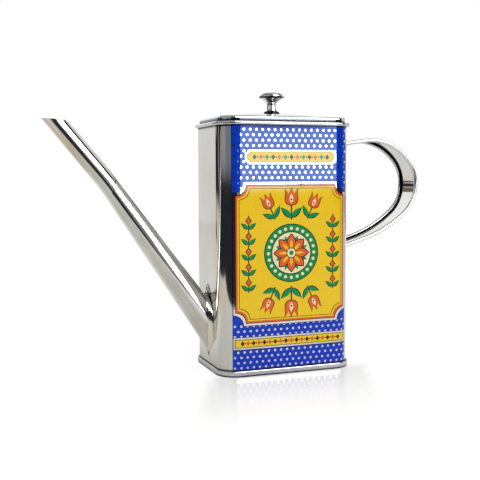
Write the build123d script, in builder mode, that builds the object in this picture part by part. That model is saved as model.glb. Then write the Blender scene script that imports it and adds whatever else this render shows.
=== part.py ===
from build123d import *
import os
from math import asin, atan, cos, degrees, radians, sin, sqrt, tan

# An oil tin: a seamed tinplate box with a slanting spout, a strap handle and a plug lid.
# Millimetres. The origin is the middle of the foot seam's underside, +Z is up, the printed
# face looks along -Y, the spout points to -X and the handle stands on +X.

# Body
sheet = 0.4
body_width = 78.0
body_depth = 51.6
body_corner = 10.5
wall_top = 137.0
back_lap_width = 6.0
back_lap_rise = 0.3

# Foot seam and bottom
foot_seam_height = 3.3
foot_seam_stand = 1.0
foot_seam_round = 0.45
panel_level = 2.2
panel_step = 0.8
panel_border = 6.0

# Top rim
rim_height = 2.0
rim_stand = 1.7
rim_round = 0.85
rim_hook = 1.2
neck_inset = 2.4
neck_depth = 8.0

# Spout
spout_sheet = 0.5
spout_root_height = 26.0
spout_root_diameter = 17.0
spout_cone_angle = 55.0
spout_cone_length = 98.8
spout_tube_diameter = 10.3
spout_tube_angle = 50.4
spout_mouth_diameter = 9.8
spout_mouth_height = 139.4
spout_mouth_angle = 4.5
spout_bend_radius = 150.0
solder_reach = 3.6
solder_crown = 2.8
solder_side = 1.3
solder_sole = 0.7
solder_lip = 0.3
solder_hollow_share = 0.4
upper_run_length = 8.5
upper_run_width = 3.6
lower_run_length = 2.2
lower_run_width = 2.2

# Handle
strap_sheet = 0.6
strap_width = 20.0
curl_diameter = 2.3
handle_top = 128.8
handle_rise_angle = 7.5
handle_run_length = 14.0
shoulder_radius = 33.6
shoulder_angle = 58.6
grip_radius = 23.5
grip_angle = 88.0
tail_radius = 74.0
tail_angle = 24.0
foot_bend_radius = 3.0
foot_length = 8.0
foot_solder_rise = 0.4
foot_solder_margin = 1.6
foot_solder_angle = 30.0

# Lid
lid_inset = 0.9
lid_height = 3.0
lid_round = 1.2
dome_rise = 3.0
dome_length = 68.0
dome_width = 42.0
plug_clearance = 0.25
plug_depth = 6.5
plug_flange = 4.0
seat_margin = 0.6
seat_rise = 0.15

# Knob and its screw
knob_height = 12.1
knob_foot_diameter = 8.8
knob_foot_height = 1.0
knob_collar_diameter = 6.1
knob_collar_height = 0.6
knob_stem_diameter = 5.3
knob_waist_height = 5.6
knob_flare_height = 6.6
knob_flare_diameter = 13.4
knob_disc_diameter = 14.4
knob_disc_height = 1.2
knob_disc_level = 8.9
knob_cap_diameter = 12.6
knob_edge_round = 0.3
screw_diameter = 3.0
screw_clearance = 0.05
screw_grip = 5.0
screw_spare = 1.0
screw_head_diameter = 5.6
screw_head_height = 1.8
screw_head_round = 0.6
screw_slot_width = 0.9
screw_slot_depth = 0.8
washer_diameter = 8.4
washer_height = 0.6

# Length by which a cut or a form runs past the piece it meets
overrun = 4.0

# Angles in degrees
quarter_turn = 90.0
half_turn = 180.0

# Levels and places that follow from the sizes above
rim_top = wall_top + rim_height
lid_top = rim_top + lid_height
dome_top = lid_top + dome_rise
wall_side = body_width / 2
wall_back = body_depth / 2
wall_edge_top = wall_top + rim_hook


def tin_outline(growth, mode=Mode.ADD):
    """Draw the tin's level outline, grown outwards from the outer face of its wall."""
    RectangleRounded(
        body_width + 2 * growth, body_depth + 2 * growth, body_corner + growth, mode=mode
    )


def tin_block(low, high, growth, mode=Mode.ADD):
    """Stand a solid of the tin's outline between two heights."""
    with BuildSketch(Plane.XY.offset(low)) as outline:
        tin_outline(growth)
    extrude(outline.sketch, amount=high - low, mode=mode)


def tin_ring(low, high, outer_growth, inner_growth, mode=Mode.ADD):
    """Stand a ring that follows the tin's outline between two heights."""
    with BuildSketch(Plane.XY.offset(low)) as ring:
        tin_outline(outer_growth)
        tin_outline(inner_growth, mode=Mode.SUBTRACT)
    extrude(ring.sketch, amount=high - low, mode=mode)


# Spout axis: a straight cone from inside the wall, an easy bend and a straight tube past the mouth
bend_angle = spout_cone_angle - spout_tube_angle
bend_tangent = spout_bend_radius * tan(radians(bend_angle / 2))
inner_length = spout_root_diameter
outer_length = spout_mouth_diameter
cone_end_z = spout_root_height + spout_cone_length * sin(radians(spout_cone_angle))
tube_length = (spout_mouth_height - cone_end_z) / sin(radians(spout_tube_angle))
with BuildLine(Plane.XZ) as spout_axis:
    inner_end = (
        -wall_side + inner_length * cos(radians(spout_cone_angle)),
        spout_root_height - inner_length * sin(radians(spout_cone_angle)),
    )
    cone_length = inner_length + spout_cone_length - bend_tangent
    cone_axis = PolarLine(inner_end, cone_length, half_turn - spout_cone_angle)
    bend_axis = JernArc(cone_axis @ 1, cone_axis % 1, spout_bend_radius, bend_angle)
    tube_end = bend_axis @ 1 + (bend_axis % 1) * (tube_length + outer_length - bend_tangent)
    tube_axis = Line(bend_axis @ 1, tube_end)

# Straight stretches of the spout, as (axis, first diameter, last diameter)
cone_taper = (spout_root_diameter - spout_tube_diameter) / (spout_cone_length - bend_tangent)
tube_taper = (spout_tube_diameter - spout_mouth_diameter) / (tube_length - bend_tangent)
spout_stretches = (
    (cone_axis, spout_root_diameter + cone_taper * inner_length, spout_tube_diameter),
    (tube_axis, spout_tube_diameter, spout_mouth_diameter - tube_taper * outer_length),
)


def spout_form(wall):
    """Turn the spout's form, set in from its outer face by a wall, past the root and the mouth."""
    with BuildPart() as form:
        for axis, first_diameter, last_diameter in spout_stretches:
            with BuildSketch(Plane(axis @ 0, x_dir=axis % 0, z_dir=(0, 1, 0))) as half:
                with BuildLine():
                    Polyline(
                        (0, 0), (axis.length, 0), (axis.length, last_diameter / 2 - wall),
                        (0, first_diameter / 2 - wall), close=True,
                    )
                make_face()
            revolve(half.sketch, axis=Axis(axis @ 0, axis % 0))
        with BuildSketch(Plane(bend_axis @ 0, x_dir=(0, 1, 0), z_dir=bend_axis % 0)) as section:
            Circle(spout_tube_diameter / 2 - wall)
        sweep(section.sketch, path=bend_axis)
    return form.part


spout_outside = spout_form(0)
spout_bore = spout_form(spout_sheet)

# Body shell: the wrapped sheet, lapped up the back, pierced where the spout leaves it
with BuildPart() as body_shell:
    tin_ring(sheet, wall_edge_top, 0, -sheet)
    with BuildSketch(Plane.XZ.offset(-wall_back)) as lap:
        with Locations((0, (foot_seam_height + wall_top) / 2)):
            Rectangle(back_lap_width, wall_top - foot_seam_height)
    extrude(lap.sketch, amount=-back_lap_rise)
    add(spout_bore, mode=Mode.SUBTRACT)

# Base end: the bottom, hooked round the foot of the wall, with a stepped panel above the floor
with BuildPart() as base_end:
    tin_block(0, foot_seam_height, foot_seam_stand)
    fillet(base_end.edges().filter_by(Plane.XY), foot_seam_round)
    tin_ring(sheet, foot_seam_height, 0, -sheet, mode=Mode.SUBTRACT)
    tin_block(panel_level + sheet, foot_seam_height, -2 * sheet, mode=Mode.SUBTRACT)
    tin_block(0, panel_level, -2 * sheet, mode=Mode.SUBTRACT)
    tin_block(panel_level, panel_level + panel_step + sheet, -panel_border)
    tin_block(0, panel_level + panel_step, -panel_border - sheet, mode=Mode.SUBTRACT)

# Top rim: the ring hooked over the wall, its rounded lip outside and its neck inside
with BuildPart() as top_rim:
    tin_block(wall_top, rim_top, rim_stand)
    fillet(top_rim.edges().filter_by(Plane.XY), rim_round)
    tin_ring(wall_top, wall_edge_top, 0, -sheet, mode=Mode.SUBTRACT)
    tin_ring(wall_top, rim_top - sheet, -2 * sheet, -neck_inset, mode=Mode.SUBTRACT)
    tin_block(rim_top - neck_depth, wall_top, -neck_inset)
    tin_block(rim_top - neck_depth, rim_top, -neck_inset - sheet, mode=Mode.SUBTRACT)

# Spout: the tube of sheet, mitred to the wall, with a mouth that falls a little towards the tin
mouth_middle = tube_axis @ 0 + (tube_axis % 0) * (tube_length - bend_tangent)
with BuildPart() as spout_tube:
    add(spout_outside)
    add(spout_bore, mode=Mode.SUBTRACT)
    split(bisect_by=Plane.YZ.offset(-wall_side), keep=Keep.BOTTOM)
    split(bisect_by=Plane(mouth_middle).rotated((0, spout_mouth_angle, 0)), keep=Keep.BOTTOM)

# Root of the spout: the top and bottom of the oval where its outer face meets the wall
root_radius = spout_root_diameter / 2
cone_flare = degrees(atan(cone_taper / 2))
upper_slope = tan(radians(spout_cone_angle - cone_flare))
lower_slope = tan(radians(spout_cone_angle + cone_flare))
root_rise = root_radius * cos(radians(spout_cone_angle))
root_set = root_radius * sin(radians(spout_cone_angle))
root_top = spout_root_height + root_rise + root_set * upper_slope
root_bottom = spout_root_height - root_rise - root_set * lower_slope

# Spout solder: the hollow-flanked collar where the tube meets the wall, with a run above and below
with BuildPart() as spout_solder:
    collar = []
    for reach, side, crown, sole in (
        (0, solder_side, solder_crown, solder_sole),
        (solder_reach / 2, solder_side * solder_hollow_share, solder_crown * solder_hollow_share,
         -solder_lip),
        (solder_reach, -solder_lip, -solder_lip, -solder_lip),
    ):
        collar_top = root_top + reach * upper_slope + crown
        collar_bottom = root_bottom + reach * lower_slope - sole
        half_width = root_radius - reach * cone_taper / 2 / cos(radians(spout_cone_angle)) + side
        with BuildSketch(Plane.YZ.offset(-wall_side - reach)) as oval:
            with Locations((0, (collar_top + collar_bottom) / 2)):
                Ellipse(half_width, (collar_top - collar_bottom) / 2)
        collar.append(oval.sketch)
    loft(collar)
    for run_level, run_length, run_width in (
        (root_top, upper_run_length, upper_run_width),
        (root_bottom, lower_run_length, lower_run_width),
    ):
        run_plane = Plane(origin=(-wall_side, 0, run_level), x_dir=(0, 0, 1), z_dir=(0, 1, 0))
        with BuildSketch(run_plane) as run:
            Ellipse(run_length, run_width / 2)
            split(bisect_by=Plane.XZ)
        revolve(run.sketch, axis=Axis((-wall_side, 0, run_level), (0, 0, 1)))
    split(bisect_by=Plane.YZ.offset(-wall_side), keep=Keep.BOTTOM)
    add(spout_outside, mode=Mode.SUBTRACT)

# Handle: the strap's middle line, from the upper foot round the grip to the lower foot
half_strap = strap_sheet / 2
foot_line = wall_side + half_strap
shoulder_slope = shoulder_angle - handle_rise_angle
tail_slope = half_turn - shoulder_slope - grip_angle - tail_angle
bend_end_x = foot_line + foot_bend_radius * (1 - sin(radians(handle_rise_angle)))
rise_line = handle_top - half_strap / cos(radians(handle_rise_angle))
bend_end_z = rise_line + (bend_end_x - wall_side) * tan(radians(handle_rise_angle))
upper_foot_top = bend_end_z - foot_bend_radius * cos(radians(handle_rise_angle))
tail_end_x = foot_line + foot_bend_radius * (1 - sin(radians(tail_slope)))

with BuildLine(Plane.XZ) as strap_line:
    upper_foot = Line((foot_line, upper_foot_top - foot_length), (foot_line, upper_foot_top))
    upper_bend_angle = quarter_turn - handle_rise_angle
    upper_bend = JernArc(upper_foot @ 1, upper_foot % 1, foot_bend_radius, -upper_bend_angle)
    reach_line = Line(upper_bend @ 1, upper_bend @ 1 + (upper_bend % 1) * handle_run_length)
    shoulder = JernArc(reach_line @ 1, reach_line % 1, shoulder_radius - half_strap, -shoulder_angle)
    grip = JernArc(shoulder @ 1, shoulder % 1, grip_radius - half_strap, -grip_angle)
    tail = JernArc(grip @ 1, grip % 1, tail_radius - half_strap, -tail_angle)
    tail_length = ((tail @ 1).X - tail_end_x) / cos(radians(tail_slope))
    run_in = Line(tail @ 1, tail @ 1 + (tail % 1) * tail_length)
    lower_bend = JernArc(run_in @ 1, run_in % 1, foot_bend_radius, quarter_turn - tail_slope)
    lower_foot = Line(lower_bend @ 1, lower_bend @ 1 + (lower_bend % 1) * foot_length)
strap_path = strap_line.wires()[0]
curl_path = Wire([reach_line, shoulder, grip, tail, run_in])

# Handle strap: the web of sheet with a curled bead along both edges, and flat feet
curl_radius = curl_diameter / 2
curl_spread = strap_width / 2 - curl_radius
with BuildPart() as handle_strap:
    with BuildSketch(Plane(strap_path @ 0, x_dir=(0, 1, 0), z_dir=strap_path % 0)) as web:
        Rectangle(2 * curl_spread, strap_sheet)
    sweep(web.sketch, path=strap_path)
    with BuildSketch(Plane(curl_path @ 0, x_dir=(0, 1, 0), z_dir=curl_path % 0)) as curls:
        with Locations(*[(side * curl_spread, half_strap - curl_radius) for side in (-1, 1)]):
            Circle(curl_radius)
    sweep(curls.sketch, path=curl_path)

# Handle solder: the low pool round each foot of the strap
with BuildPart() as handle_solder:
    with BuildSketch(Plane.YZ.offset(wall_side)) as pools:
        with Locations((0, (upper_foot @ 0.5).Z), (0, (lower_foot @ 0.5).Z)):
            RectangleRounded(
                2 * (curl_spread + foot_solder_margin),
                foot_length + 2 * foot_solder_margin,
                foot_solder_margin,
            )
    extrude(pools.sketch, amount=foot_solder_rise, taper=foot_solder_angle)
    add(handle_strap.part, mode=Mode.SUBTRACT)


def dome_form(inset):
    """Form the lid's dome, set in from its outer face."""
    crown_rise = dome_rise - seat_rise
    crown_top = lid_top + crown_rise
    long_radius = ((dome_length / 2) ** 2 + crown_rise ** 2) / (2 * crown_rise)
    cross_radius = ((dome_width / 2) ** 2 + crown_rise ** 2) / (2 * crown_rise)
    half_width = dome_width / 2 + dome_rise
    half_length = dome_length / 2 + dome_rise
    edge = long_radius - cross_radius + sqrt((cross_radius - inset) ** 2 - half_width ** 2)
    turn = asin(half_length / long_radius)
    middle = (0, 0, crown_top - long_radius)
    with BuildPart() as dome:
        with BuildSketch(Plane(middle, x_dir=(0, 1, 0), z_dir=(cos(turn), 0, sin(turn)))) as crown:
            with BuildLine():
                ThreePointArc((-half_width, edge), (0, long_radius - inset), (half_width, edge))
                Polyline(
                    (half_width, edge), (half_width, edge - dome_rise),
                    (-half_width, edge - dome_rise), (-half_width, edge),
                )
            make_face()
        revolve(crown.sketch, axis=Axis(middle, (0, 1, 0)), revolution_arc=2 * degrees(turn))
        split(bisect_by=Plane.XY.offset(lid_top - inset - sheet / 2), keep=Keep.TOP)
    return dome.part


def lid_form(inset, floor):
    """Form the lid with the knob's raised flat seat, set in from its outer face, down to a floor."""
    dome = dome_form(inset)
    with BuildPart() as form:
        tin_block(floor, lid_top - inset, -lid_inset - inset)
        fillet(form.faces().sort_by(Axis.Z)[-1].edges(), lid_round - inset)
        add(dome)
        with BuildSketch(Plane.XY.offset(lid_top - inset - sheet)) as seat:
            Circle(knob_foot_diameter / 2 + seat_margin - inset)
        extrude(seat.sketch, amount=dome_rise + sheet)
    return form.part


lid_outside = lid_form(0, rim_top)
lid_inside = lid_form(sheet, rim_top - overrun)

# Lid cover: the stamped plate with its turned-down edge and the hole for the knob's screw
with BuildPart() as lid_cover:
    add(lid_outside)
    add(lid_inside, mode=Mode.SUBTRACT)
    with BuildSketch(Plane.XY.offset(rim_top)) as screw_way:
        Circle(screw_diameter / 2 + screw_clearance)
    extrude(screw_way.sketch, amount=dome_top - rim_top, mode=Mode.SUBTRACT)

# Lid skirt: the ring that plugs the neck, with the flange that joins it to the cover
plug_growth = -(neck_inset + sheet + plug_clearance)
with BuildPart() as lid_skirt:
    tin_ring(rim_top - plug_depth, lid_top - sheet, plug_growth, plug_growth - sheet)
    tin_ring(lid_top - 2 * sheet, lid_top - sheet, plug_growth, plug_growth - plug_flange)

# Knob: turned in one piece, with a foot, a waisted stem, a thin disc and a low dome
foot_top = dome_top + knob_foot_height
collar_top = foot_top + knob_collar_height
waist_level = dome_top + knob_waist_height
flare_level = dome_top + knob_flare_height
disc_level = dome_top + knob_disc_level
disc_top = disc_level + knob_disc_height
knob_top = dome_top + knob_height
foot_radius = knob_foot_diameter / 2
collar_radius = knob_collar_diameter / 2
stem_radius = knob_stem_diameter / 2
flare_radius = knob_flare_diameter / 2
disc_radius = knob_disc_diameter / 2
cap_radius = knob_cap_diameter / 2
with BuildPart() as lid_knob:
    with BuildSketch(Plane.XZ) as knob_profile:
        with BuildLine():
            Polyline(
                (0, dome_top), (foot_radius, dome_top), (foot_radius, foot_top),
                (collar_radius, foot_top), (collar_radius, collar_top),
            )
            Bezier((collar_radius, collar_top), (stem_radius, collar_top), (stem_radius, waist_level))
            Bezier((stem_radius, waist_level), (stem_radius, flare_level), (flare_radius, disc_level))
            Polyline(
                (flare_radius, disc_level), (disc_radius, disc_level),
                (disc_radius, disc_top), (cap_radius, disc_top),
            )
            Bezier((cap_radius, disc_top), (cap_radius, knob_top), (0, knob_top))
            Line((0, knob_top), (0, dome_top))
        make_face()
        fillet(knob_profile.vertices().group_by(Axis.X)[-1], knob_edge_round)
    revolve(knob_profile.sketch, axis=Axis.Z)
    with BuildSketch(Plane.XY.offset(dome_top)) as tapped_hole:
        Circle(screw_diameter / 2 + screw_clearance)
    extrude(tapped_hole.sketch, amount=screw_grip + screw_spare, mode=Mode.SUBTRACT)

# Washer and screw: they clamp the knob's foot and the cover's seat between them
washer_top = dome_top - sheet
head_top = washer_top - washer_height
with BuildPart() as knob_washer:
    with BuildSketch(Plane.XY.offset(head_top)) as washer_ring:
        Circle(washer_diameter / 2)
        Circle(screw_diameter / 2 + screw_clearance, mode=Mode.SUBTRACT)
    extrude(washer_ring.sketch, amount=washer_height)
with BuildPart() as knob_screw:
    with BuildSketch(Plane.XY.offset(head_top - screw_head_height)) as screw_head:
        Circle(screw_head_diameter / 2)
    extrude(screw_head.sketch, amount=screw_head_height)
    fillet(knob_screw.faces().sort_by(Axis.Z)[0].edges(), screw_head_round)
    with BuildSketch(Plane.XY.offset(head_top)) as shank:
        Circle(screw_diameter / 2)
    extrude(shank.sketch, amount=washer_height + sheet + screw_grip)
    with BuildSketch(Plane.XY.offset(head_top - screw_head_height)) as slot:
        Rectangle(screw_head_diameter, screw_slot_width)
    extrude(slot.sketch, amount=screw_slot_depth, mode=Mode.SUBTRACT)

pieces = {
    "body_shell": body_shell,
    "base_end": base_end,
    "top_rim": top_rim,
    "spout_tube": spout_tube,
    "spout_solder": spout_solder,
    "handle_strap": handle_strap,
    "handle_solder": handle_solder,
    "lid_cover": lid_cover,
    "lid_skirt": lid_skirt,
    "lid_knob": lid_knob,
    "knob_washer": knob_washer,
    "knob_screw": knob_screw,
}
os.makedirs("parts", exist_ok=True)
for name, piece in pieces.items():
    piece.part.label = name
    export_step(piece.part, f"parts/{name}.step")
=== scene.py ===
from math import ceil, cos, log, pi, radians, sin

import bpy
from mathutils import Matrix, Vector
from mathutils.geometry import delaunay_2d_cdt


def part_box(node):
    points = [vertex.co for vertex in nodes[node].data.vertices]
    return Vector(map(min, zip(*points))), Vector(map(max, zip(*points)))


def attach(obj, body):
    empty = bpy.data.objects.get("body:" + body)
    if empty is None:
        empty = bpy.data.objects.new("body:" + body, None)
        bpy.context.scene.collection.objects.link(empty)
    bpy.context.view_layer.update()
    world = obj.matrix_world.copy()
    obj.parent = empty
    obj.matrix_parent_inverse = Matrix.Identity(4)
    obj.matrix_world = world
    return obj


# An oil tin with a slanting spout, a strap handle and a plug lid, on a white table.
# Metres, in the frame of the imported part. Sizes written in millimetres are multiplied by MM.
MM = 0.001
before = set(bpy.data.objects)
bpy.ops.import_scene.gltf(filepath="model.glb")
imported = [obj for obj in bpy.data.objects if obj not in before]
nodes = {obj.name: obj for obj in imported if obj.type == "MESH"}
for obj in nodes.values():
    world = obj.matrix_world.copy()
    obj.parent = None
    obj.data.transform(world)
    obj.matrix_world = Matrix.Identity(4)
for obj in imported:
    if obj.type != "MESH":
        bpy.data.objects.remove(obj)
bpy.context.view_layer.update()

# Camera: it stands in front of the tin, towards the spout's side, a little lower than the
# wall's top
CAMERA_PLACE = Vector((-0.17804, -0.43604, 0.11062))
CAMERA_AZIMUTH = radians(19.98)
CAMERA_PITCH = radians(4.64)
CAMERA_ROLL = radians(-0.21)
CAMERA_LENS = 60.99
CAMERA_SENSOR = 36


def make_camera():
    """The photograph's viewpoint, as fitted to the tin's edges."""
    forward = Vector((
        sin(CAMERA_AZIMUTH) * cos(CAMERA_PITCH),
        cos(CAMERA_AZIMUTH) * cos(CAMERA_PITCH),
        -sin(CAMERA_PITCH),
    ))
    right = Vector((cos(CAMERA_AZIMUTH), -sin(CAMERA_AZIMUTH), 0))
    up = right.cross(forward)
    rolled_right = cos(CAMERA_ROLL) * right + sin(CAMERA_ROLL) * up
    rolled_up = cos(CAMERA_ROLL) * up - sin(CAMERA_ROLL) * right
    data = bpy.data.cameras.new("camera")
    data.lens = CAMERA_LENS
    data.sensor_width = CAMERA_SENSOR
    camera = bpy.data.objects.new("camera", data)
    turned = Matrix((rolled_right, rolled_up, -forward)).transposed().to_4x4()
    camera.matrix_world = Matrix.Translation(CAMERA_PLACE) @ turned
    bpy.context.scene.collection.objects.link(camera)
    bpy.context.scene.camera = camera


# Colours and shaders. A noise scale is about its number of blotches to the metre, and the
# depths of bumps are in metres.

WAVE_SCALE = 30
WAVE_DEPTH = 0.0012


def grey(value):
    return (value, value, value, 1)


def ink_colour(red, green, blue):
    """A colour written as a screen shows it, 0 to 255, turned into scene light."""
    shares = [channel / 255 for channel in (red, green, blue)]
    return tuple(
        s / 12.92 if s <= 0.04045 else ((s + 0.055) / 1.055) ** 2.4 for s in shares
    ) + (1,)


BLACK = grey(0.0)
WHITE = grey(1.0)


class Shader:
    """A short way to write a node tree."""

    def __init__(self, tree):
        self.tree = tree
        tree.nodes.clear()

    def node(self, kind, values=None, **settings):
        """A new node. A value is a plain one or another node's output, for the input named."""
        made = self.tree.nodes.new(kind)
        for name, value in settings.items():
            setattr(made, name, value)
        for name, value in (values or {}).items():
            socket = made.inputs[name]
            if isinstance(value, bpy.types.NodeSocket):
                self.tree.links.new(value, socket)
            else:
                socket.default_value = value
        return made

    def math(self, operation, *values, clamp=False):
        return self.node(
            "ShaderNodeMath", dict(enumerate(values)), operation=operation, use_clamp=clamp
        ).outputs[0]

    def smooth(self, value, start, end):
        """0 at start and 1 at end, whichever is larger, with an eased step between."""
        return self.node(
            "ShaderNodeMapRange",
            {"Value": value, "From Min": start, "From Max": end},
            interpolation_type="SMOOTHSTEP",
        ).outputs[0]

    def between(self, value, low, high, edge):
        """1 between two limits and 0 outside them, with an eased edge inside each."""
        return self.math(
            "MULTIPLY",
            self.smooth(value, low, low + edge),
            self.smooth(value, high, high - edge),
        )

    def mix_colour(self, share, first, second):
        """The first colour where the share is 0, and the second where it is 1."""
        return self.node(
            "ShaderNodeMix", {0: share, 6: first, 7: second}, data_type="RGBA"
        ).outputs[2]

    def mix_shader(self, share, first, second):
        return self.node("ShaderNodeMixShader", {0: share, 1: first, 2: second}).outputs[0]

    def place(self):
        """X, Y and Z in the part's own frame."""
        coordinates = self.node("ShaderNodeTexCoord").outputs["Object"]
        return tuple(self.node("ShaderNodeSeparateXYZ", {0: coordinates}).outputs)

    def noise(self, scale, detail, roughness=0.5, drawn=1.0, lean=0.0, distortion=0.0):
        """Noise in the part's own frame, drawn out this many times along Z leant about Y."""
        coordinates = self.node("ShaderNodeTexCoord").outputs["Object"]
        if drawn != 1.0:
            coordinates = self.node(
                "ShaderNodeMapping",
                {"Vector": coordinates, "Rotation": (0, lean, 0), "Scale": (1, 1, drawn)},
                vector_type="TEXTURE",
            ).outputs[0]
        return self.node("ShaderNodeTexNoise", {
            "Vector": coordinates, "Scale": scale, "Detail": detail,
            "Roughness": roughness, "Distortion": distortion,
        }).outputs["Fac"]

    def crevice(self, reach, colour, shade_colour, start=0.75, end=0.98):
        """Lays painted shade over a colour where a neighbouring surface stands within reach, from
        ambient occlusion.
        """
        open_share = self.node(
            "ShaderNodeAmbientOcclusion", {"Distance": reach}, samples=8
        ).outputs["AO"]
        return self.mix_colour(self.smooth(open_share, start, end), shade_colour, colour)

    def bump(self, strength, depth, height, **under):
        """A bump from a height. A Normal that is given is the surface it lies on."""
        return self.node(
            "ShaderNodeBump", {"Strength": strength, "Distance": depth, "Height": height, **under}
        ).outputs[0]

    def waves(self, strength):
        """The slow waviness of thin sheet."""
        return self.bump(strength, WAVE_DEPTH, self.noise(WAVE_SCALE, detail=1.5))

    def surface(self, values):
        """Ends a material with one principled shader."""
        self.output(self.node("ShaderNodeBsdfPrincipled", values).outputs[0])

    def output(self, shader, kind="ShaderNodeOutputMaterial"):
        self.node(kind, {"Surface": shader})


def new_material(name):
    """An empty material and the shader that writes it."""
    material = bpy.data.materials.new(name)
    material.use_nodes = True
    return material, Shader(material.node_tree)


# Metals

STAIN_SCALE = 38
STREAK_SCALE = 700
STREAK_DRAWN = 32.0
SCUFF_SCALE = 420
SCUFF_ROUGHENS = 0.08
GRAIN_SCALE = 2600
GRAIN_DRAWN = 16.0
GRAIN_DEPTH = 0.0001
SPOUT_LEAN = radians(-33.0)
# The colour of the painted shade in the metals' seams and crevices
METAL_CREVICE_SHADE = ink_colour(24, 22, 20)
# The colour of the painted shade ring at the knob's disc edge
KNOB_EDGE_SHADE = ink_colour(30, 27, 22)
# The painted shade ring at the edge of the knob's disc, where its rim falls in shadow: its height
# and half width
KNOB_RING = (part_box("lid_knob")[1].z - 0.0031, 0.0005)

SOLDER_BRIGHT = ink_colour(226, 223, 214)
SOLDER_WARM = ink_colour(244, 234, 212)
SOLDER_STAIN = ink_colour(170, 146, 108)
# The colour of the painted shade in the solder's crevices
SOLDER_CREVICE_SHADE = ink_colour(92, 74, 50)
SOLDER_BRIGHT_FROM = 0.034
SOLDER_WARM_BELOW = 0.018
SOLDER_ROUGHNESS = 0.10
SOLDER_FOOT_ROUGHENS = 0.18
LUMP_SCALE = 300
LUMP_DEPTH = 0.0004


def metal(
    name, colour, tint, roughness, wave=0.25, grain=0.02, reach=0.0015, streaks=0.06, lean=0.0,
    ring=None,
):
    """Plated sheet: waves, rolled grain, streaks, faint stains, scuffs, and painted shade in
    seams.

    Wave and grain are the strengths of those two bumps, reach is how near a neighbour has to
    stand for the painted shade, streaks is how dark the streaks get, and lean tilts streaks and
    grain.
    """
    material, shader = new_material(name)
    stain = shader.smooth(shader.noise(STAIN_SCALE, detail=4), 0.42, 0.72)
    shown = shader.mix_colour(stain, colour, tint)
    streak = shader.noise(STREAK_SCALE, detail=3, drawn=STREAK_DRAWN, lean=lean)
    streak = shader.math("MULTIPLY", shader.smooth(streak, 0.35, 0.7), streaks)
    shown = shader.mix_colour(streak, shown, BLACK)
    # Painted shade in seams and crevices, where a neighbouring surface stands within reach
    shown = shader.crevice(reach, shown, METAL_CREVICE_SHADE)
    # Painted shade: a dark ring round the knob's disc edge, where its rim falls in shadow
    if ring:
        middle, half = ring
        off = shader.math("ABSOLUTE", shader.math("SUBTRACT", shader.place()[2], middle))
        shown = shader.mix_colour(shader.smooth(off, half * 0.6, half), KNOB_EDGE_SHADE, shown)
    scuff = shader.smooth(shader.noise(SCUFF_SCALE, detail=6, roughness=0.7), 0.6, 0.78)
    rolled = shader.noise(GRAIN_SCALE, detail=2, drawn=GRAIN_DRAWN, lean=lean)
    shader.surface({
        "Base Color": shown,
        "Metallic": 1.0,
        "Roughness": shader.math("MULTIPLY_ADD", scuff, SCUFF_ROUGHENS, roughness),
        "Normal": shader.bump(grain, GRAIN_DEPTH, rolled, Normal=shader.waves(wave)),
    })
    return material


def solder():
    """Hand-run solder, a little lumpy: bright, but warmer and duller at the spout's foot, with
    painted shade in its crevices.
    """
    material, shader = new_material("solder")
    foot = shader.smooth(shader.place()[2], SOLDER_BRIGHT_FROM, SOLDER_WARM_BELOW)
    shown = shader.mix_colour(foot, SOLDER_BRIGHT, SOLDER_WARM)
    stain = shader.smooth(shader.noise(SCUFF_SCALE, detail=4, roughness=0.6), 0.62, 0.76)
    shown = shader.mix_colour(stain, shown, SOLDER_STAIN)
    lumps = shader.noise(LUMP_SCALE, detail=4, roughness=0.55, distortion=0.5)
    shader.surface({
        # Painted shade in the solder's crevices, where a neighbouring surface stands near
        "Base Color": shader.crevice(0.0012, shown, SOLDER_CREVICE_SHADE, start=0.5, end=0.95),
        "Metallic": 1.0,
        "Roughness": shader.math("MULTIPLY_ADD", foot, SOLDER_FOOT_ROUGHENS, SOLDER_ROUGHNESS),
        "Normal": shader.bump(0.35, LUMP_DEPTH, lumps),
    })
    return material


def dress(material, *node_names):
    """Give these CAD nodes a material."""
    for name in node_names:
        slots = nodes[name].data.materials
        slots.clear()
        slots.append(material)


def dress_metals():
    tinplate = metal(
        "tinplate", ink_colour(224, 223, 219), ink_colour(218, 214, 204), 0.06, wave=0.12
    )
    rim_plate = metal(
        "rim_plate", ink_colour(216, 217, 218), ink_colour(200, 200, 200), 0.07, wave=0.05
    )
    spout_plate = metal(
        "spout_plate", ink_colour(230, 228, 223), ink_colour(216, 209, 196), 0.07, wave=0.06,
        grain=0.012, streaks=0.16, lean=SPOUT_LEAN,
    )
    strap_plate = metal(
        "strap_plate", ink_colour(228, 227, 224), ink_colour(214, 210, 202), 0.05, wave=0.06,
        reach=0.003,
    )
    lid_plate = metal(
        "lid_plate", ink_colour(218, 220, 222), ink_colour(204, 207, 212), 0.04, wave=0.08
    )
    knob_metal = metal(
        "knob_metal", ink_colour(240, 239, 236), ink_colour(228, 226, 222), 0.14, wave=0.0,
        reach=0.0025, streaks=0.0, ring=KNOB_RING,
    )
    fastener = metal("fastener", ink_colour(196, 198, 202), ink_colour(176, 174, 168), 0.2)
    dress(tinplate, "body_shell")
    dress(rim_plate, "base_end", "top_rim")
    dress(spout_plate, "spout_tube")
    dress(strap_plate, "handle_strap")
    dress(lid_plate, "lid_cover", "lid_skirt")
    dress(knob_metal, "lid_knob")
    dress(fastener, "knob_washer", "knob_screw")
    dress(solder(), "spout_solder", "handle_solder")


# Print: its outlines are drawn flat, in millimetres. Across is the way round the wall from
# the middle of the print, and up is the height above its lower edge.

WALL_CORNER = 10.5
WALL_HALF_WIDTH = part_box("body_shell")[1].x / MM
WALL_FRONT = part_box("body_shell")[0].y / MM
FLAT_HALF = WALL_HALF_WIDTH - WALL_CORNER
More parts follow.
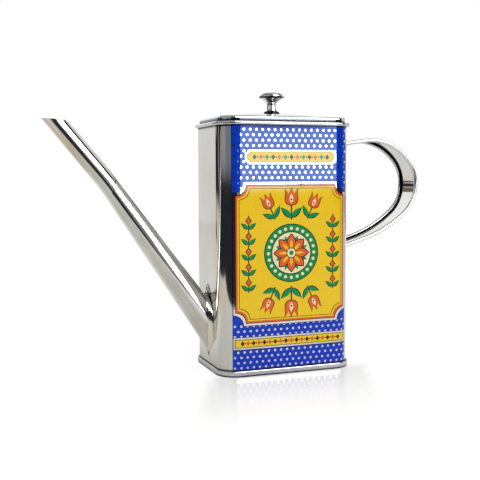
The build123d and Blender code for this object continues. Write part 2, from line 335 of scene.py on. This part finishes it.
# How far the print goes round each front corner of the wall
LEFT_TURN = radians(25)
RIGHT_TURN = radians(38.5)
PRINT_LEFT = -FLAT_HALF - WALL_CORNER * LEFT_TURN
PRINT_RIGHT = FLAT_HALF + WALL_CORNER * RIGHT_TURN
PRINT_MIDDLE = (PRINT_LEFT + PRINT_RIGHT) / 2
PRINT_HALF = (PRINT_RIGHT - PRINT_LEFT) / 2
PRINT_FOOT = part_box("base_end")[1].z / MM + 0.1
PRINT_TOP = 136.9
PRINT_HEIGHT = PRINT_TOP - PRINT_FOOT
# How far the skin's front and back stand off the wall
PRINT_STAND = 0.07
PRINT_BACK = 0.02
# The widest that a facet may be where the skin goes round a corner
BEND_STEP = 0.6

INKS = {
    "blue": ink_colour(0, 54, 186),
    "yellow": ink_colour(238, 198, 34),
    "green": ink_colour(0, 138, 76),
    "orange": ink_colour(224, 98, 40),
    "cream": ink_colour(240, 226, 178),
    "black": ink_colour(12, 12, 16),
}
BARE = "bare"
INK_NAMES = list(INKS) + [BARE]
MOTTLE_SCALE = 1500
MOTTLE_DARKENS = 0.86

DOT_PITCH = 3.6
DOT_RISE = DOT_PITCH * 0.8
DOT_RADIUS = 0.68
# How far the first dot is from the print's left edge and from its foot
FIRST_DOT = (1.2, 1.4)
# The heights of the dark lines at the print's top and foot: partly the print's edge, partly
# painted shade under the rim and above the foot seam
TOP_LINE = 0.45
FOOT_LINE = 0.3
PANEL_LOW, PANEL_HIGH, PANEL_NOTCH = 24.3, 103.0, 6.0
STRIP_LOW, STRIP_HIGH = 11.3, 18.4
BAND_LOW, BAND_HIGH, BAND_HALF, BAND_NOTCH = 112.5, 120.0, 27.0, 1.6
# The colours from the outside inwards, each with its distance from the edge
PANEL_FRAME = (
    ("black", 0.0), (BARE, 0.35), ("black", 1.45), ("orange", 1.85),
    ("yellow", 2.8), ("black", 3.6), ("yellow", 3.9),
)
STRIP_FRAME = (("black", 0.0), (BARE, 0.35), ("black", 1.2), ("yellow", 1.55))
BAND_FRAME = ((BARE, 0.0), ("black", 0.7), ("yellow", 1.05))

# What is painted so far: the number of each outline's ink, and the outline
art = []


def ink(name, colour):
    """Printing ink on tinplate, under a clear stoving varnish."""
    material, shader = new_material(name)
    mottle = shader.smooth(shader.noise(MOTTLE_SCALE, detail=4, roughness=0.65), 0.35, 0.75)
    darker = tuple(channel * MOTTLE_DARKENS for channel in colour[:3]) + (1,)
    waves = shader.waves(0.12)
    shader.surface({
        "Base Color": shader.mix_colour(mottle, colour, darker),
        "Roughness": shader.math("MULTIPLY_ADD", mottle, 0.1, 0.4),
        "Specular IOR Level": 0.02,
        "Normal": waves,
        "Coat Weight": 0.5,
        "Coat Roughness": 0.04,
        "Coat Normal": waves,
    })
    return material


def paint(colour, *outlines):
    """Lay outlines over what is painted already."""
    for outline in outlines:
        art.append((INK_NAMES.index(colour), outline))


def both_sides(colour, outline):
    """Paint an outline and its mirror image in the print's upright middle line."""
    paint(colour, outline, [(-x, y) for x, y in reversed(outline)])


def rectangle(left, low, right, high):
    return [(left, low), (right, low), (right, high), (left, high)]


def lozenge(half_width, half_height):
    return [(half_width, 0), (0, half_height), (-half_width, 0), (0, -half_height)]


def arc_points(centre, radius, start, end, steps):
    return [
        (
            centre[0] + radius * cos(radians(start + (end - start) * i / steps)),
            centre[1] + radius * sin(radians(start + (end - start) * i / steps)),
        )
        for i in range(steps + 1)
    ]


def disc(centre, radius, steps=24):
    return arc_points(centre, radius, 0, 360, steps)[:-1]


def notched(left, low, right, high, notch, steps=8):
    """A rectangle whose corners are cut by quarter circles."""
    return (
        arc_points((left, low), notch, 90, 0, steps)
        + arc_points((right, low), notch, 180, 90, steps)
        + arc_points((right, high), notch, 270, 180, steps)
        + arc_points((left, high), notch, 360, 270, steps)
    )


def placed(outline, centre, angle=0.0, size=1.0):
    """An outline drawn about the origin, turned, scaled and moved."""
    turn = radians(angle)
    return [
        (
            centre[0] + size * (x * cos(turn) - y * sin(turn)),
            centre[1] + size * (x * sin(turn) + y * cos(turn)),
        )
        for x, y in outline
    ]


def leaf(length, width, belly=0.42, steps=12):
    """A pointed leaf from the origin upwards, widest at belly of its length."""
    bend = log(0.5) / log(belly)
    side = [
        (width / 2 * sin(pi * (i / steps) ** bend), length * i / steps) for i in range(1, steps)
    ]
    return [(0, 0)] + side + [(0, length)] + [(-x, y) for x, y in reversed(side)]


def curve(start, pull, end, steps=6):
    """Points of a bent line from start towards end, without its last point."""
    points = []
    for i in range(steps):
        t = i / steps
        points.append(tuple(
            (1 - t) ** 2 * a + 2 * t * (1 - t) * b + t * t * c
            for a, b, c in zip(start, pull, end)
        ))
    return points


def tulip(width, height):
    """A three-pointed flower that opens upwards from the origin."""
    half = width / 2
    side = (
        curve((0, 0), (half * 1.15, 0), (half, height * 0.5))
        + curve((half, height * 0.5), (half * 0.85, height * 0.75), (half * 1.05, height))
        + curve((half * 1.05, height), (half * 0.55, height * 0.85), (half * 0.42, height * 0.62))
        + curve((half * 0.42, height * 0.62), (half * 0.2, height * 0.85), (0, height * 1.06))
    )
    return side + [(0, height * 1.06)] + [(-x, y) for x, y in reversed(side[1:])]


def paint_flower(centre, angle, size=1.0, flip=1):
    """A dark-edged tulip with two leaves, once more on the other side if off the middle.

    A flip of -1 turns it upside down and keeps its outlines running the same way round.
    """
    pieces = (
        ("black", rectangle(-0.35, -7, 0.35, 0.5)),
        ("black", placed(leaf(7.6, 3.0), (0, -6.2), -48)),
        ("black", placed(leaf(7.6, 3.0), (0, -6.2), 48)),
        ("green", placed(leaf(7.0, 2.4), (0, -5.9), -48)),
        ("green", placed(leaf(7.0, 2.4), (0, -5.9), 48)),
        ("black", placed(tulip(7.0, 8.4), (0, -0.4))),
        ("orange", tulip(6.2, 7.5)),
        ("cream", placed(leaf(4.6, 2.0), (0, 0.9))),
        ("black", disc((0, 2.6), 0.5, 10)),
    )
    lay = both_sides if centre[0] else paint
    for colour, outline in pieces:
        turned = [(x, flip * y) for x, y in outline][::flip]
        lay(colour, placed(turned, centre, angle, size))


def paint_rosette(centre):
    """The round middle of the print: petals in a ring of beads."""
    line, wreath, heart, eye = 0.5, 15.7, 11.4, 2.5
    beads, petals = 24, 8
    paint("black", disc(centre, wreath + line, 56))
    paint("green", disc(centre, wreath, 56))
    for i in range(beads):
        bead = placed([(0, 13.6)], centre, i * 360 / beads)[0]
        paint("cream", disc(bead, 0.95, 10))
    paint("black", disc(centre, heart + line, 48))
    paint("cream", disc(centre, heart, 48))
    for i in range(petals):
        paint("green", placed(leaf(10.2, 2.6, belly=0.6), centre, (i + 0.5) * 360 / petals))
    for i in range(petals):
        angle = i * 360 / petals
        paint("black", placed(leaf(10.8, 5.4, belly=0.62), centre, angle))
        paint("orange", placed(leaf(10.1, 4.5, belly=0.62), centre, angle))
        paint("yellow", placed(leaf(7.4, 1.5, belly=0.6), centre, angle))
    paint("black", disc(centre, eye + line))
    paint("cream", disc(centre, eye))
    paint("green", disc(centre, 1.3, 14))


def paint_garland(across, low, high, count):
    """An upright chain of lozenges with leaf pairs between, on both sides of the middle."""
    step = (high - low) / count
    both_sides("black", rectangle(across - 0.3, low, across + 0.3, high))
    for i in range(count):
        middle = low + step * (i + 0.5)
        for angle in (-52, 52):
            both_sides("black", placed(leaf(5.6, 2.5), (across, middle - 3.2), angle))
            both_sides("green", placed(leaf(5.1, 1.9), (across, middle - 3.0), angle))
        both_sides("black", placed(lozenge(1.9, 2.5), (across, middle + 1.4)))
        both_sides("orange", placed(lozenge(1.3, 1.8), (across, middle + 1.4)))


def paint_row(level, half_length, pitch, colours, half_width, half_height):
    """A level row of small lozenges with beads between."""
    count = int(half_length / pitch)
    shape = lozenge(half_width, half_height)
    for i in range(-count, count + 1):
        paint(colours[i % len(colours)], placed(shape, (i * pitch, level)))
        if i < count:
            paint("black", disc(((i + 0.5) * pitch, level), 0.42, 8))


def paint_ground():
    """The blue ground with its staggered dots, which leave the panel and the strip free."""
    paint("blue", rectangle(-PRINT_HALF, 0, PRINT_HALF, PRINT_HEIGHT))
    left, foot = FIRST_DOT
    columns = int(2 * PRINT_HALF / DOT_PITCH) + 1
    for row in range(int(PRINT_HEIGHT / DOT_RISE) + 1):
        level = foot + row * DOT_RISE
        if level > PRINT_HEIGHT - DOT_RADIUS:
            break
        behind_panel = PANEL_LOW + 1 < level < PANEL_HIGH - PANEL_NOTCH
        if behind_panel or STRIP_LOW + 1 < level < STRIP_HIGH - 1:
            continue
        for column in range(columns):
            across = -PRINT_HALF + left + (column + 0.5 * (row % 2)) * DOT_PITCH
            if across < PRINT_HALF - DOT_RADIUS:
                paint(BARE, disc((across, level), DOT_RADIUS, 10))


def paint_edge_lines():
    """The dark lines where the print meets the rim and the foot seam: black ink for the print's
    edge, and painted shade under the rim and above the seam.
    """
    paint("black", rectangle(-PRINT_HALF, PRINT_HEIGHT - TOP_LINE, PRINT_HALF, PRINT_HEIGHT))
    paint("black", rectangle(-PRINT_HALF, 0, PRINT_HALF, FOOT_LINE))


def paint_panel():
    """The yellow panel with its lines, flowers, garlands and rosette."""
    for colour, inset in PANEL_FRAME:
        paint(colour, notched(
            inset - PRINT_HALF, PANEL_LOW + inset, PRINT_HALF - inset, PANEL_HIGH - inset,
            PANEL_NOTCH,
        ))
    middle = (PANEL_LOW + PANEL_HIGH) / 2
    paint_garland(25.2, middle - 21, middle + 21, 5)
    paint_flower((0, middle + 26.5), 0, 1.15)
    paint_flower((12.5, middle + 25), -24)
    paint_flower((0, middle - 26.5), 0, 1.15, flip=-1)
    paint_flower((12.5, middle - 25), 24, flip=-1)
    paint_rosette((0, middle))


def paint_band():
    """The pale band above the panel."""
    for colour, inset in BAND_FRAME:
        paint(colour, notched(
            inset - BAND_HALF, BAND_LOW + inset, BAND_HALF - inset, BAND_HIGH - inset, BAND_NOTCH
        ))
    level = (BAND_LOW + BAND_HIGH) / 2
    paint_row(level, BAND_HALF - 4, 3.6, ("black", "orange", "green"), 1.25, 1.5)


def paint_strip():
    """The narrow yellow strip below the panel."""
    for colour, inset in STRIP_FRAME:
        paint(colour, rectangle(
            inset - PRINT_HALF, STRIP_LOW + inset, PRINT_HALF - inset, STRIP_HIGH - inset
        ))
    level = (STRIP_LOW + STRIP_HIGH) / 2
    paint_row(level, PRINT_HALF - 3.5, 3.2, ("orange", "black"), 1.15, 1.45)


def bend_places():
    """Where the print is cut from top to foot, so that it can go round the wall's corners."""
    left_bend = (-PRINT_HALF, -FLAT_HALF - PRINT_MIDDLE)
    right_bend = (FLAT_HALF - PRINT_MIDDLE, PRINT_HALF)
    places = []
    for start, end in (left_bend, right_bend):
        steps = ceil((end - start) / BEND_STEP)
        places += [start + (end - start) * i / steps for i in range(steps + 1)]
    return places


def cut_print():
    """The flat print's points, and its faces, each with the number of the ink on top there."""
    points, faces, edges = [], [], []
    for _, outline in art:
        faces.append(list(range(len(points), len(points) + len(outline))))
        points.extend(Vector(point) for point in outline)
    for across in bend_places():
        edges.append((len(points), len(points) + 1))
        points.extend((Vector((across, 0)), Vector((across, PRINT_HEIGHT))))
    triangles_inside, merge_distance = 1, 1e-5
    cut_points, _, cut_faces, _, _, outlines_there = delaunay_2d_cdt(
        points, edges, faces, triangles_inside, merge_distance
    )
    inked = [
        (tuple(face), art[max(outlines)][0])
        for face, outlines in zip(cut_faces, outlines_there) if outlines
    ]
    return cut_points, inked


def print_point(across, up, stand):
    """A flat point of the print, wrapped round the wall and stood off it."""
    along = across + PRINT_MIDDLE
    side = 1 if along > 0 else -1
    turn = max(0.0, abs(along) - FLAT_HALF) / WALL_CORNER
    radius = WALL_CORNER + stand
    x = along if turn == 0 else side * (FLAT_HALF + radius * sin(turn))
    y = WALL_FRONT - stand if turn == 0 else WALL_FRONT + WALL_CORNER - radius * cos(turn)
    return Vector((x, y, PRINT_FOOT + up)) * MM


def make_print():
    """A thin closed skin round the wall's front, with a material for each ink."""
    paint_ground()
    paint_edge_lines()
    paint_panel()
    paint_band()
    paint_strip()
    flat_points, inked = cut_print()
    count = len(flat_points)
    vertices = [
        print_point(p.x, p.y, stand) for stand in (PRINT_STAND, PRINT_BACK) for p in flat_points
    ]
    border = {}
    for face, colour in inked:
        for a, b in zip(face, face[1:] + face[:1]):
            if (b, a) in border:
                del border[(b, a)]
            else:
                border[(a, b)] = colour
    front = [face for face, _ in inked]
    back = [tuple(count + v for v in reversed(face)) for face in front]
    sides = [(b, a, count + a, count + b) for a, b in border]
    colours = [colour for _, colour in inked]
    mesh = bpy.data.meshes.new("front_print")
    mesh.from_pydata(vertices, [], front + back + sides)
    for name, colour in INKS.items():
        mesh.materials.append(ink("ink_" + name, colour))
    mesh.materials.append(nodes["body_shell"].data.materials[0])
    mesh.polygons.foreach_set("material_index", colours + colours + list(border.values()))
    mesh.validate()
    mesh.shade_smooth()
    mesh.set_sharp_from_angle(angle=radians(30))
    made = bpy.data.objects.new("front_print", mesh)
    bpy.context.scene.collection.objects.link(made)
    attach(made, "can")


# Table

TABLE_CORNERS = ((-0.46, -0.12), (-0.24, -0.20), (1.3, -0.76), (1.3, 1.6), (-0.46, 1.6))
TABLE_NEAR = ink_colour(218, 218, 214)
TABLE_FAR = ink_colour(247, 246, 241)
TABLE_LEFT = ink_colour(226, 218, 202)
# How far the white part's edge goes to +X for each metre to +Y
WHITE_SLANT = 0.6
VIEW_GLOW = 0.83
VIEW_LIT = grey(0.22)
GLOSS_COLOUR = grey(0.55)
GLOSS_ROUGHNESS = 0.16
GLOSS_SHARE = 0.3
# The tin's front, and how far the camera's line of sight goes to +X for each metre to +Y
TIN_FRONT = 0.0275
SIGHT_SLANT = 0.43


def table_in_metal(shader, x, y):
    """What metal mirrors: white right of the tin, and toned on its left."""
    colour = shader.mix_colour(shader.smooth(y, 0.0, 0.08), TABLE_NEAR, TABLE_FAR)
    left = shader.math("MULTIPLY", shader.smooth(x, -0.16, -0.30), shader.smooth(y, 0.3, 0.1))
    colour = shader.mix_colour(left, colour, TABLE_LEFT)
    across = shader.math("SUBTRACT", x, shader.math("MULTIPLY", y, WHITE_SLANT))
    colour = shader.mix_colour(shader.smooth(across, -0.03, 0.07), colour, WHITE)
    return shader.node("ShaderNodeBsdfDiffuse", {"Color": colour}).outputs[0]


def table_in_view(shader, x, y):
    """What the camera sees: white with a soft shadow, and a faint mirror before the tin."""
    glow = shader.node("ShaderNodeEmission", {"Color": WHITE, "Strength": VIEW_GLOW}).outputs[0]
    lit = shader.node("ShaderNodeBsdfDiffuse", {"Color": VIEW_LIT}).outputs[0]
    plain = shader.node("ShaderNodeAddShader", {0: glow, 1: lit}).outputs[0]
    gloss = shader.node(
        "ShaderNodeBsdfGlossy", {"Color": GLOSS_COLOUR, "Roughness": GLOSS_ROUGHNESS}
    ).outputs[0]
    before = shader.math(
        "MULTIPLY", shader.smooth(y, -0.012, -0.029), shader.smooth(y, -0.13, -0.02)
    )
    slant = shader.math("MULTIPLY", shader.math("ADD", y, TIN_FRONT), SIGHT_SLANT)
    aside = shader.math("ABSOLUTE", shader.math("SUBTRACT", x, slant))
    near = shader.math("MULTIPLY", before, shader.smooth(aside, 0.052, 0.041))
    return shader.mix_shader(shader.math("MULTIPLY", near, GLOSS_SHARE), plain, gloss)


def make_floor():
    """A white table top. Its edges and its tones show only in the metal."""
    mesh = bpy.data.meshes.new("floor")
    mesh.from_pydata(
        [(x, y, 0) for x, y in TABLE_CORNERS], [], [tuple(range(len(TABLE_CORNERS)))]
    )
    floor = bpy.data.objects.new("floor", mesh)
    bpy.context.scene.collection.objects.link(floor)
    material, shader = new_material("floor")
    seen = shader.node("ShaderNodeLightPath").outputs["Is Camera Ray"]
    x, y, _ = shader.place()
    shader.output(shader.mix_shader(
        seen, table_in_metal(shader, x, y), table_in_view(shader, x, y)
    ))
    mesh.materials.append(material)


# Room and light

# What the polished metal mirrors: patches laid over a dim room. Each has its limits in
# degrees round from +X and in degrees up, the width of its soft edge, and its colour.
ROOM_PATCHES = (
    (-181, -125, -0.8, 24, 1.5, (0.20, 0.215, 0.26)),
    (-181, -158, -0.8, 24, 3, (0.32, 0.33, 0.38)),
    (143, 150, -1, 24, 1, (0.38, 0.35, 0.31)),
    (168, 181, -0.8, 24, 2, (0.32, 0.31, 0.31)),
    (-181, -128, 4.6, 48, 3, (0.60, 0.61, 0.64)),
    (147, 181, 4.6, 48, 3, (0.60, 0.61, 0.64)),
    (110, 126, 2.4, 6.4, 0.6, (0.36, 0.33, 0.27)),
    (110, 126, 6.4, 11, 0.6, (0.17, 0.16, 0.14)),
    (-190, 190, 36, 100, 6, (0.26, 0.26, 0.27)),
    (-190, 190, 58, 100, 8, (0.44, 0.44, 0.45)),
    (-190, 190, -100, -20, 8, (0.30, 0.30, 0.31)),
    (-131, -93, 25, 50, 2, (0.60, 0.60, 0.60)),
    (-92, -72, -12, 3, 2, (0.24, 0.25, 0.25)),
    (-12, 111.5, -100, 38, 1.0, (0.80, 0.80, 0.79)),
    (24, 92, -4, 37, 6, (1.05, 1.05, 1.05)),
    (98, 111, 3.42, 6, 0.2, (0.42, 0.41, 0.41)),
    (50, 82, 5, 16, 4, (0.72, 0.72, 0.73)),
    (80, 137, 10.5, 36, 1.5, (1.05, 1.08, 1.10)),
    (111, 124, -4, -1, 1, (0.40, 0.38, 0.33)),
    (121, 147, -8, -1, 2, (0.75, 0.74, 0.68)),
    (-95, -71, 5, 52, 1.5, (6.0, 6.0, 6.0)),
    (-72, -32, 6.8, 52, 1.5, (6.0, 6.0, 6.0)),
    (-72, -60.5, 3.2, 7.4, 0.6, (0.62, 0.69, 0.76)),
    (-71.5, -61, -1.5, 3.6, 0.6, (7.5, 9.6, 10.2)),
    (-76, -56, -14, -1, 3, (0.70, 0.70, 0.70)),
    (-24, 3, 29, 41, 1.5, (0.01, 0.01, 0.01)),
    (29, 58, 8, 26, 2.5, (0.02, 0.02, 0.02)),
)
ROOM_COLOUR = (0.02, 0.022, 0.03, 1)
PLAIN_LIGHT = grey(0.75)

LAMP_PLACE = Vector((-0.5, -0.9, 0.9))
LAMP_AIM = Vector((0, 0, 0.07))
LAMP_SIZE = 0.8
LAMP_POWER = 5.0


def make_world():
    """White behind for the camera, plain light, and a studio for the metal to mirror."""
    world = bpy.data.worlds.new("world")
    bpy.context.scene.world = world
    world.use_nodes = True
    shader = Shader(world.node_tree)
    path = shader.node("ShaderNodeLightPath").outputs
    direction = shader.node("ShaderNodeTexCoord").outputs["Generated"]
    x, y, z = shader.node("ShaderNodeSeparateXYZ", {0: direction}).outputs
    around = shader.math("DEGREES", shader.math("ARCTAN2", y, x))
    upward = shader.math("DEGREES", shader.math("ARCSINE", z))
    room = ROOM_COLOUR
    for left, right, low, high, edge, colour in ROOM_PATCHES:
        mask = shader.math(
            "MULTIPLY",
            shader.between(around, left, right, edge),
            shader.between(upward, low, high, edge),
        )
        room = shader.mix_colour(mask, room, colour + (1,))
    mirrored, plain, white = (
        shader.node("ShaderNodeBackground", {"Color": colour}).outputs[0]
        for colour in (room, PLAIN_LIGHT, WHITE)
    )
    lit = shader.mix_shader(path["Is Glossy Ray"], plain, mirrored)
    seen = shader.math("ADD", path["Is Camera Ray"], path["Is Transmission Ray"], clamp=True)
    shader.output(shader.mix_shader(seen, lit, white), "ShaderNodeOutputWorld")


def make_lamp():
    """One soft lamp, which the metal doesn't mirror."""
    data = bpy.data.lights.new("key", "AREA")
    data.shape = "SQUARE"
    data.size = LAMP_SIZE
    data.energy = LAMP_POWER
    lamp = bpy.data.objects.new("key", data)
    lamp.location = LAMP_PLACE
    lamp.rotation_euler = (LAMP_AIM - LAMP_PLACE).to_track_quat("-Z", "Y").to_euler()
    lamp.visible_glossy = False
    bpy.context.scene.collection.objects.link(lamp)


bpy.context.scene.view_settings.view_transform = "Standard"
make_camera()
dress_metals()
make_print()
make_floor()
make_world()
make_lamp()
